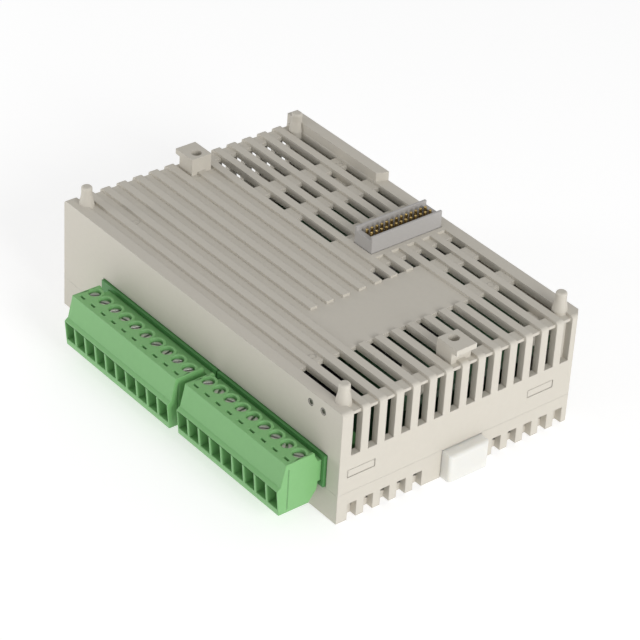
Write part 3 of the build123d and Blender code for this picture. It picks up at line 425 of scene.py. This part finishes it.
@dataclass(frozen=True)
class Finishes:
    """Every finish of the module, one to each kind of surface."""

    # The second colour of each finish is the highlight painted along its edges.
    housing: Moulding = Moulding("housing_plastic", (0.600, 0.565, 0.495), (0.70, 0.67, 0.61),
                                 roughness=0.60, dust=0.05, glow=0.06)
    latch: Moulding = Moulding("latch_plastic", (0.56, 0.525, 0.455), (0.66, 0.63, 0.57), roughness=0.5)
    clip: Moulding = Moulding("clip_plastic", (0.74, 0.735, 0.70), (0.82, 0.815, 0.79), roughness=0.36,
                              grain_strength=0.12, drift=0.03, glow=0.6, glow_depth=1.8)
    header: Moulding = Moulding("header_plastic", (0.075, 0.250, 0.072), (0.16, 0.38, 0.14),
                                roughness=0.45, grain_strength=0.2, drift=0.08)
    plug: Moulding = Moulding("plug_plastic", (0.205, 0.460, 0.175), (0.32, 0.59, 0.29),
                              roughness=0.42, grain_strength=0.2, drift=0.07, glow=0.12)
    connector: Moulding = Moulding("connector_plastic", (0.46, 0.445, 0.43), (0.56, 0.55, 0.53),
                                   roughness=0.48, grain_strength=0.15, drift=0.04)
    board: Moulding = Moulding("board_laminate", (0.035, 0.105, 0.050), (0.30, 0.27, 0.16),
                               roughness=0.35, grain_strength=0.1, drift=0.2)
    chip: Moulding = Moulding("chip_epoxy", (0.020, 0.020, 0.021), (0.07, 0.07, 0.07), roughness=0.6)
    lens: Moulding = Moulding("lens_plastic", (0.075, 0.070, 0.058), (0.10, 0.09, 0.08), roughness=0.16,
                              grain_strength=0.05, painted_highlight=0.2)
    ink: Moulding = Moulding("print_ink", (0.14, 0.13, 0.115), (0.18, 0.17, 0.16), roughness=0.5,
                             grain_strength=0.05, painted_highlight=0.0)
    ceramic: Moulding = Moulding("ceramic_body", (0.42, 0.36, 0.27), (0.5, 0.46, 0.38), roughness=0.5)
    screw: Plating = Plating("screw_zinc", (0.60, 0.59, 0.57), (0.78, 0.77, 0.75), roughness=0.42)
    clamp: Plating = Plating("clamp_steel", (0.42, 0.41, 0.39), (0.62, 0.60, 0.57), roughness=0.35)
    spring: Plating = Plating("spring_wire", (0.35, 0.35, 0.35), (0.6, 0.6, 0.6), roughness=0.3)
    tin: Plating = Plating("tin_plate", (0.55, 0.54, 0.50), (0.70, 0.69, 0.66), roughness=0.36)
    gold: Plating = Plating("gold_plate", (0.62, 0.45, 0.17), (0.78, 0.62, 0.34), roughness=0.40)


# --- Mesh building -------------------------------------------------------------------------------

WELD_REACH = 2e-6
RING_SHOULDER = 0.6         # share of a ring's height where its dome starts
COIL_EASE = 0.07            # how far the end turns of a coil close up


@dataclass(frozen=True)
class EdgeStyle:
    """How a piece's edges are softened, with the width in millimetres."""

    width: float
    steps: int = 2
    angle: float = 32.0
    held_back: bool = False


def soften(piece: bpy.types.Object, style: EdgeStyle) -> None:
    """Rounds a piece's edges with modifiers and leaves its mesh alone.

    Args:
        piece: the object.
        style: width and steps of the rounding.
    """
    weld = piece.modifiers.new("weld", "WELD")
    weld.merge_threshold = WELD_REACH
    rounding = piece.modifiers.new("rounding", "BEVEL")
    rounding.width = style.width * MM
    rounding.segments = style.steps
    rounding.limit_method = "ANGLE"
    rounding.angle_limit = math.radians(style.angle)
    rounding.use_clamp_overlap = style.held_back
    rounding.harden_normals = False
    shade = piece.modifiers.new("shade", "WEIGHTED_NORMAL")
    shade.keep_sharp = True


class Former:
    """Collects bmesh shapes in millimetres and turns them into one piece."""

    def __init__(self, name: str) -> None:
        """Starts an empty mesh.

        Args:
            name: the piece's name.
        """
        self.name = name
        self.mesh = bmesh.new()

    def prism(self, outline: list[tuple[float, float]], place: Matrix, height: float) -> None:
        """Adds an outline raised into a prism.

        Args:
            outline: corners in the local XY plane, counter-clockwise.
            place: where the local frame sits.
            height: how far it rises along local Z.
        """
        low = [self.mesh.verts.new(place @ Vector((x, y, 0.0))) for x, y in outline]
        high = [self.mesh.verts.new(place @ Vector((x, y, height))) for x, y in outline]
        self.mesh.faces.new(list(reversed(low)))
        self.mesh.faces.new(high)
        count = len(outline)
        for index in range(count):
            after = (index + 1) % count
            self.mesh.faces.new((low[index], low[after], high[after], high[index]))

    def ring(self, place: Matrix, inner: float, outer: float, height: float, steps: int = 40) -> None:
        """Adds a flat ring with a domed top.

        Args:
            place: where the local frame sits.
            inner: inner radius.
            outer: outer radius.
            height: height along local Z.
            steps: divisions of the circle.
        """
        middle = (inner + outer) / 2
        section = [(inner, 0.0), (outer, 0.0), (outer, height * RING_SHOULDER), (middle, height),
                   (inner, height * RING_SHOULDER)]
        loops = []
        for index in range(steps):
            turn = Matrix.Rotation(2 * math.pi * index / steps, 4, "Z")
            loops.append([self.mesh.verts.new(place @ turn @ Vector((r, 0.0, z))) for r, z in section])
        for index in range(steps):
            here, there = loops[index], loops[(index + 1) % steps]
            for corner in range(len(section)):
                after = (corner + 1) % len(section)
                self.mesh.faces.new((here[corner], there[corner], there[after], here[after]))

    def coil(self, start: Vector, length: float, radius: float, wire: float, turns: int,
             steps: int = 28, sides: int = 10) -> None:
        """Adds a round wire wound about a line along X, with its end turns closed up.

        Args:
            start: middle of the coil's first end.
            length: from end to end.
            radius: from the line to the middle of the wire.
            wire: wire diameter.
            turns: number of turns.
            steps: divisions of one turn.
            sides: divisions of the wire's section.
        """
        total = turns * steps
        loops = []
        for index in range(total + 1):
            share = index / total
            eased = share + math.sin(2 * math.pi * share) * -COIL_EASE
            angle = 2 * math.pi * share * turns
            along = wire / 2 + eased * (length - wire)
            out = Vector((0.0, math.cos(angle), math.sin(angle)))
            centre = start + Vector((along, 0.0, 0.0)) + out * radius
            loop = []
            for side in range(sides):
                around = 2 * math.pi * side / sides
                offset = out * math.cos(around) + Vector((1.0, 0.0, 0.0)) * math.sin(around)
                loop.append(self.mesh.verts.new(centre + offset * (wire / 2)))
            loops.append(loop)
        for lower, upper in zip(loops, loops[1:]):
            for side in range(sides):
                after = (side + 1) % sides
                self.mesh.faces.new((lower[side], lower[after], upper[after], upper[side]))
        self.mesh.faces.new(list(reversed(loops[0])))
        self.mesh.faces.new(loops[-1])

    def brick(self, low: Vector, high: Vector) -> None:
        """Adds a block between two corners.

        Args:
            low: lowest corner.
            high: highest corner.
        """
        outline = [(low.x, low.y), (high.x, low.y), (high.x, high.y), (low.x, high.y)]
        self.prism(outline, Matrix.Translation((0.0, 0.0, low.z)), high.z - low.z)

    def finish(self, body: str, material: bpy.types.Material, slot: str,
               edge: EdgeStyle | None) -> bpy.types.Object:
        """Makes the object, dresses it and lets it ride.

        Args:
            body: CAD body that the piece moves with.
            material: its finish.
            slot: the record's material slot it stands for; not used.
            edge: how its edges are softened, if at all.

        Returns:
            The new object.
        """
        bmesh.ops.recalc_face_normals(self.mesh, faces=self.mesh.faces)
        self.mesh.transform(Matrix.Scale(MM, 4))
        data = bpy.data.meshes.new(self.name)
        self.mesh.to_mesh(data)
        self.mesh.free()
        data.materials.append(material)
        piece = bpy.data.objects.new(self.name, data)
        bpy.context.scene.collection.objects.link(piece)
        if edge is not None:
            soften(piece, edge)
        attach(piece, body)
        log.info("piece %s: %d faces", self.name, len(data.polygons))
        return piece


@dataclass(frozen=True)
class NodeBox:
    """A CAD node's corners in millimetres."""

    low: Vector
    high: Vector

    @classmethod
    def of(cls, node: str) -> "NodeBox":
        """Reads a node's box from the frame."""
        low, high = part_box(node)
        return cls(low / MM, high / MM)

    @property
    def middle(self) -> Vector:
        """Centre of the box."""
        return (self.low + self.high) / 2


def dress(node: str, material: bpy.types.Material, edge: EdgeStyle | None) -> None:
    """Gives a CAD node its finish and softened edges.

    Args:
        node: the node's name.
        material: the finish.
        edge: how its edges are softened, if at all.
    """
    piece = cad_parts[node]
    piece.data.materials.clear()
    piece.data.materials.append(material)
    if edge is not None:
        soften(piece, edge)
    log.info("node %s: %s", node, material.name)


# --- Sub-assemblies ------------------------------------------------------------------------------

@dataclass
class Housing:
    """Cover and base shells with the marks of their mould.

    Their fine ribs and slots are too close together for a cut rounding, so the finish rounds
    their edges instead.
    """

    edge: EdgeStyle | None = None
    mark_inner: float = 0.62
    mark_outer: float = 0.82
    mark_height: float = 0.07
    mark_sunk: float = 0.01
    marks: tuple[tuple[float, float], ...] = ((-30.7, -22.3), (26.3, -22.3), (-25.5, 26.1), (26.8, 22.1))
    recess: float = 0.6
    roof: float = 25.2

    def build(self, finishes: Finishes) -> None:
        """Dresses both shells and adds the round ejector marks.

        Args:
            finishes: the module's finishes.
        """
        plastic = finishes.housing.make()
        for node in ("cover_shell", "base_shell"):
            dress(node, plastic, self.edge)
        marks = Former("ejector_marks")
        for x, y in self.marks:
            place = Matrix.Translation((x, y, self.roof - self.recess - self.mark_sunk))
            marks.ring(place, self.mark_inner, self.mark_outer, self.mark_height)
        marks.finish("housing", plastic, "housing_plastic", None)


@dataclass
class StatusLights:
    """Two lenses in the front panel with their printed marks."""

    ring_width: float = 0.16
    ring_gap: float = 0.12
    ink_height: float = 0.03
    ink_sunk: float = 0.5

    def build(self, finishes: Finishes) -> None:
        """Dresses the lenses and prints a ring round each.

        Args:
            finishes: the module's finishes.
        """
        dress("status_lenses", finishes.lens.make(), EdgeStyle(0.1, 2, held_back=True))
        box = NodeBox.of("status_lenses")
        radius = (box.high.z - box.low.z) / 2
        ring = Former("light_ring")
        turn = Matrix.Rotation(math.radians(90), 4, "X")
        inner = radius + self.ring_gap
        panel = NodeBox.of("cover_shell").low.y
        for x in (box.low.x + radius, box.high.x - radius):
            place = Matrix.Translation((x, panel + self.ink_height * self.ink_sunk, box.middle.z)) @ turn
            ring.ring(place, inner, inner + self.ring_width, self.ink_height, 48)
        ring.finish("housing", finishes.ink.make(), "lens_plastic", None)


@dataclass
class LatchSpring:
    """Compression spring between the rail latch and its post; it shortens as the latch opens, but the coil
    here is built at one fixed length.
    """

    wire: float = 0.35
    turns: int = 7
    travel: float = 3.5

    def build(self, finishes: Finishes) -> None:
        """Winds the spring in the place of its plain solid.

        Args:
            finishes: the module's finishes.
        """
        box = NodeBox.of("din_latch_spring")
        length = box.high.x - box.low.x
        radius = (box.high.z - box.low.z - self.wire) / 2
        spring = Former("latch_spring_coil")
        spring.coil(Vector((box.low.x, box.middle.y, box.middle.z)), length, radius, self.wire, self.turns)
        piece = spring.finish("housing", finishes.spring.make(), "spring_steel", None)
        for face in piece.data.polygons:
            face.use_smooth = True
        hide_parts("din_latch_spring")
        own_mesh(piece)


@dataclass
class Slides:
    """Module clips and rail latch."""

    def build(self, finishes: Finishes) -> None:
        """Dresses the clips and the latch.

        Args:
            finishes: the module's finishes.
        """
        clip = finishes.clip.make()
        for node in ("module_clip_bottom", "module_clip_top"):
            dress(node, clip, EdgeStyle(0.3, 4, held_back=True))
        dress("din_latch", finishes.latch.make(), EdgeStyle(0.15, 2))


@dataclass
class TerminalRow:
    """One header with its plug, screws and clamps."""

    label: str
    poles: int

    def build(self, finishes: "FinishSet") -> None:
        """Dresses every piece of the row.

        Args:
            finishes: materials shared by both rows.
        """
        dress(f"header_{self.label}", finishes.header, EdgeStyle(0.12, 2))
        dress(f"header_{self.label}_pins", finishes.tin, EdgeStyle(0.08, 2))
        dress(f"plug_{self.label}_housing", finishes.plug, EdgeStyle(0.12, 3))
        dress(f"plug_{self.label}_contacts", finishes.tin, EdgeStyle(0.05, 2))
        for pole in range(1, self.poles + 1):
            dress(f"screw_{self.label}_{pole:02d}", finishes.screw, EdgeStyle(0.06, 2))
            dress(f"clamp_{self.label}_{pole:02d}", finishes.clamp, EdgeStyle(0.12, 2))


@dataclass
class FinishSet:
    """Materials that more than one sub-assembly shares, each made once."""

    header: bpy.types.Material
    plug: bpy.types.Material
    tin: bpy.types.Material
    screw: bpy.types.Material
    clamp: bpy.types.Material
    chip: bpy.types.Material
    ceramic: bpy.types.Material

    @classmethod
    def make(cls, finishes: Finishes) -> "FinishSet":
        """Makes the shared materials."""
        return cls(finishes.header.make(), finishes.plug.make(), finishes.tin.make(),
                   finishes.screw.make(), finishes.clamp.make(), finishes.chip.make(),
                   finishes.ceramic.make())


@dataclass
class Electronics:
    """Boards, bus connector and the parts that show through the slots."""

    chips: int = 8
    chip_pitch: float = 6.0
    chip_size: tuple[float, float, float] = (4.4, 6.5, 2.0)
    lead_pitch: float = 1.0
    leads: int = 4
    lead_width: float = 0.42
    lead_reach: float = 0.55
    lead_height: float = 0.5
    seed: int = 7
    small_parts: int = 90
    strip_left: float = 8.0
    strip_right: float = 12.0
    strip_start: float = 1.5
    strip_end: float = 6.0
    body_half: tuple[float, float] = (0.8, 0.4)
    body_height: float = 0.5
    cap_length: float = 0.25
    cap_proud: float = 0.02

    def build(self, finishes: Finishes, shared: FinishSet) -> None:
        """Dresses the boards and adds leads and small parts.

        Args:
            finishes: the module's finishes.
            shared: materials made once.
        """
        board = finishes.board.make()
        connector = finishes.connector.make()
        for node in ("main_board", "bus_board"):
            dress(node, board, None)
        dress("bus_shroud", connector, EdgeStyle(0.1, 3))
        dress("bus_socket", connector, EdgeStyle(0.1, 2))
        dress("bus_pins", finishes.gold.make(), EdgeStyle(0.05, 2))
        dress("output_chips", shared.chip, EdgeStyle(0.15, 2))
        dress("board_link", shared.chip, EdgeStyle(0.15, 2))
        self.chip_leads(shared)
        self.small_components(shared)

    def chip_leads(self, shared: FinishSet) -> None:
        """Bends a row of leads out of both sides of each driver chip.

        Args:
            shared: materials made once.
        """
        row = NodeBox.of("output_chips")
        length, width, _ = self.chip_size
        leads = Former("chip_leads")
        for chip in range(self.chips):
            start = row.low.x + chip * self.chip_pitch + length / 2
            for index in range(self.leads):
                x = start + (index - (self.leads - 1) / 2) * self.lead_pitch
                for side in (-1, 1):
                    root = row.low.y + width / 2 + side * width / 2
                    tip = root + side * self.lead_reach
                    low = Vector((x - self.lead_width / 2, min(root, tip), row.low.z))
                    high = Vector((x + self.lead_width / 2, max(root, tip), row.low.z + self.lead_height))
                    leads.brick(low, high)
        leads.finish("housing", shared.tin, "tinned_brass", EdgeStyle(0.12, 2, held_back=True))

    def small_components(self, shared: FinishSet) -> None:
        """Crowds chip resistors and capacitors along the bus board's front edge.

        Args:
            shared: materials made once.
        """
        rng = random.Random(self.seed)
        board = NodeBox.of("bus_board")
        chips = NodeBox.of("output_chips")
        bodies, ends = Former("chip_parts"), Former("chip_part_ends")
        half_x, half_y = self.body_half
        tall, cap = self.body_height, self.cap_length
        for _ in range(self.small_parts):
            x = rng.uniform(board.low.x + self.strip_left, board.high.x - self.strip_right)
            y = rng.uniform(board.low.y + self.strip_start, min(chips.low.y, board.low.y + self.strip_end))
            turned = rng.random() < 0.5
            reach = Vector((half_y, half_x, 0)) if turned else Vector((half_x, half_y, 0))
            along = Vector((0, 1, 0)) if turned else Vector((1, 0, 0))
            centre = Vector((x, y, board.high.z))
            bodies.brick(centre - reach, centre + reach + Vector((0, 0, tall)))
            for sign in (-1, 1):
                tip = centre + along * sign * (half_x - cap / 2)
                grow = reach - along * (half_x - cap / 2) + Vector((self.cap_proud, self.cap_proud, 0))
                ends.brick(tip - grow, tip + grow + Vector((0, 0, tall + self.cap_proud)))
        bodies.finish("housing", shared.ceramic, "chip_plastic", None)
        ends.finish("housing", shared.tin, "tinned_brass", None)


# --- Studio ----------------------------------------------------------------------------------------

@dataclass(frozen=True)
class Viewpoint:
    """Camera place, turned about the module."""

    azimuth: float = 49.455
    elevation: float = 33.948
    roll: float = 3.588
    distance: float = 552.55
    lens: float = 154.876
    slide_right: float = 1.005
    slide_up: float = -2.462
    centre: Vector = field(default_factory=lambda: Vector((0.0, 0.0, 12.6)))

    def place(self) -> bpy.types.Object:
        """Makes the scene's camera.

        Returns:
            The camera object.
        """
        turn, rise, tilt = (math.radians(v) for v in (self.azimuth, self.elevation, self.roll))
        back = Vector((math.sin(turn) * math.cos(rise), -math.cos(turn) * math.cos(rise), math.sin(rise)))
        right = (-back).cross(Vector((0, 0, 1))).normalized()
        up = right.cross(-back)
        side = right * math.cos(tilt) + up * math.sin(tilt)
        top = up * math.cos(tilt) - right * math.sin(tilt)
        spot = self.centre + back * self.distance + side * self.slide_right + top * self.slide_up
        data = bpy.data.cameras.new("studio_camera")
        data.lens = self.lens
        data.sensor_width = 36.0
        data.clip_start = 0.01
        data.clip_end = 10.0
        camera = bpy.data.objects.new("studio_camera", data)
        camera.matrix_world = Matrix.Translation(spot * MM) @ Matrix((side, top, back)).transposed().to_4x4()
        bpy.context.scene.collection.objects.link(camera)
        bpy.context.scene.camera = camera
        return camera


@dataclass(frozen=True)
class Softbox:
    """One area light aimed at the module."""

    name: str
    azimuth: float
    elevation: float
    distance: float
    size: float
    power: float
    colour: Colour = (1.0, 1.0, 1.0)

    def place(self) -> None:
        """Makes the light."""
        turn, rise = math.radians(self.azimuth), math.radians(self.elevation)
        way = Vector((math.sin(turn) * math.cos(rise), -math.cos(turn) * math.cos(rise), math.sin(rise)))
        data = bpy.data.lights.new(self.name, "AREA")
        data.shape = "DISK"
        data.size = self.size
        data.energy = self.power
        data.color = self.colour
        light = bpy.data.objects.new(self.name, data)
        light.location = way * self.distance
        light.rotation_euler = way.to_track_quat("Z", "Y").to_euler()
        bpy.context.scene.collection.objects.link(light)


@dataclass
class Studio:
    """Pale floor, soft lights and camera."""

    view: Viewpoint = field(default_factory=Viewpoint)
    boxes: tuple[Softbox, ...] = (
        Softbox("key_right", 88.0, 24.0, 0.9, 0.45, 4.0),
        Softbox("near_left", 312.0, 12.0, 0.34, 0.12, 0.28),
    )
    floor_half: float = 3.0
    floor_drop: float = 0.03
    ambient: float = 0.50
    floor_glow: float = 0.55

    def build(self) -> None:
        """Makes the floor, the ambient light, the softboxes and the camera."""
        self.floor()
        world = bpy.data.worlds.new("studio_air")
        bpy.context.scene.world = world
        world.use_nodes = True
        tree = world.node_tree
        lit, seen = tree.nodes["Background"], tree.nodes.new("ShaderNodeBackground")
        for node, strength in ((lit, self.ambient), (seen, 1.0)):
            node.inputs["Color"].default_value = (1.0, 1.0, 1.0, 1.0)
            node.inputs["Strength"].default_value = strength
        path, both = tree.nodes.new("ShaderNodeLightPath"), tree.nodes.new("ShaderNodeMixShader")
        tree.links.new(path.outputs["Is Camera Ray"], both.inputs[0])
        tree.links.new(lit.outputs[0], both.inputs[1])
        tree.links.new(seen.outputs[0], both.inputs[2])
        tree.links.new(both.outputs[0], tree.nodes["World Output"].inputs["Surface"])
        for box in self.boxes:
            box.place()
        self.view.place()
        bpy.context.scene.view_settings.view_transform = "Standard"

    def floor(self) -> None:
        """Makes the pale floor that the module lies on, clear when seen from below."""
        mesh = bmesh.new()
        half = self.floor_half
        corners = [mesh.verts.new((x, y, -self.floor_drop * MM)) for x, y in
                   ((-half, -half), (half, -half), (half, half), (-half, half))]
        mesh.faces.new(corners)
        bmesh.ops.subdivide_edges(mesh, edges=mesh.edges, cuts=8, use_grid_fill=True)
        data = bpy.data.meshes.new("studio_floor")
        mesh.to_mesh(data)
        mesh.free()
        paper = Workbench("studio_paper")
        drift = paper.effect(Effect.DRIFT, Colour=(0.62, 0.62, 0.62, 1.0), Amount=0.004)
        paper.tree.links.new(drift.outputs["Colour"], paper.shader.inputs["Base Color"])
        paper.set(Roughness=0.95, Specular_IOR_Level=0.1, Emission_Color=(1.0, 1.0, 1.0, 1.0),
                  Emission_Strength=self.floor_glow)
        side = paper.tree.nodes.new("ShaderNodeNewGeometry")
        seen = math_node(paper.tree, "SUBTRACT", 1.0, side.outputs["Backfacing"])
        paper.tree.links.new(seen.outputs[0], paper.shader.inputs["Alpha"])
        data.materials.append(paper.material)
        floor = bpy.data.objects.new("studio_floor", data)
        bpy.context.scene.collection.objects.link(floor)


# --- Assembly ----------------------------------------------------------------------------------------

def main() -> None:
    """Builds the module's looks and the studio around it."""
    logging.basicConfig(level=logging.INFO, format="%(name)s: %(message)s")
    finishes = Finishes()
    shared = FinishSet.make(finishes)
    Housing().build(finishes)
    StatusLights().build(finishes)
    Slides().build(finishes)
    LatchSpring().build(finishes)
    for row in (TerminalRow("10", 10), TerminalRow("9", 9)):
        row.build(shared)
    Electronics().build(finishes, shared)
    Studio().build()
    bpy.context.view_layer.update()


if __name__ == "__main__":
    main()
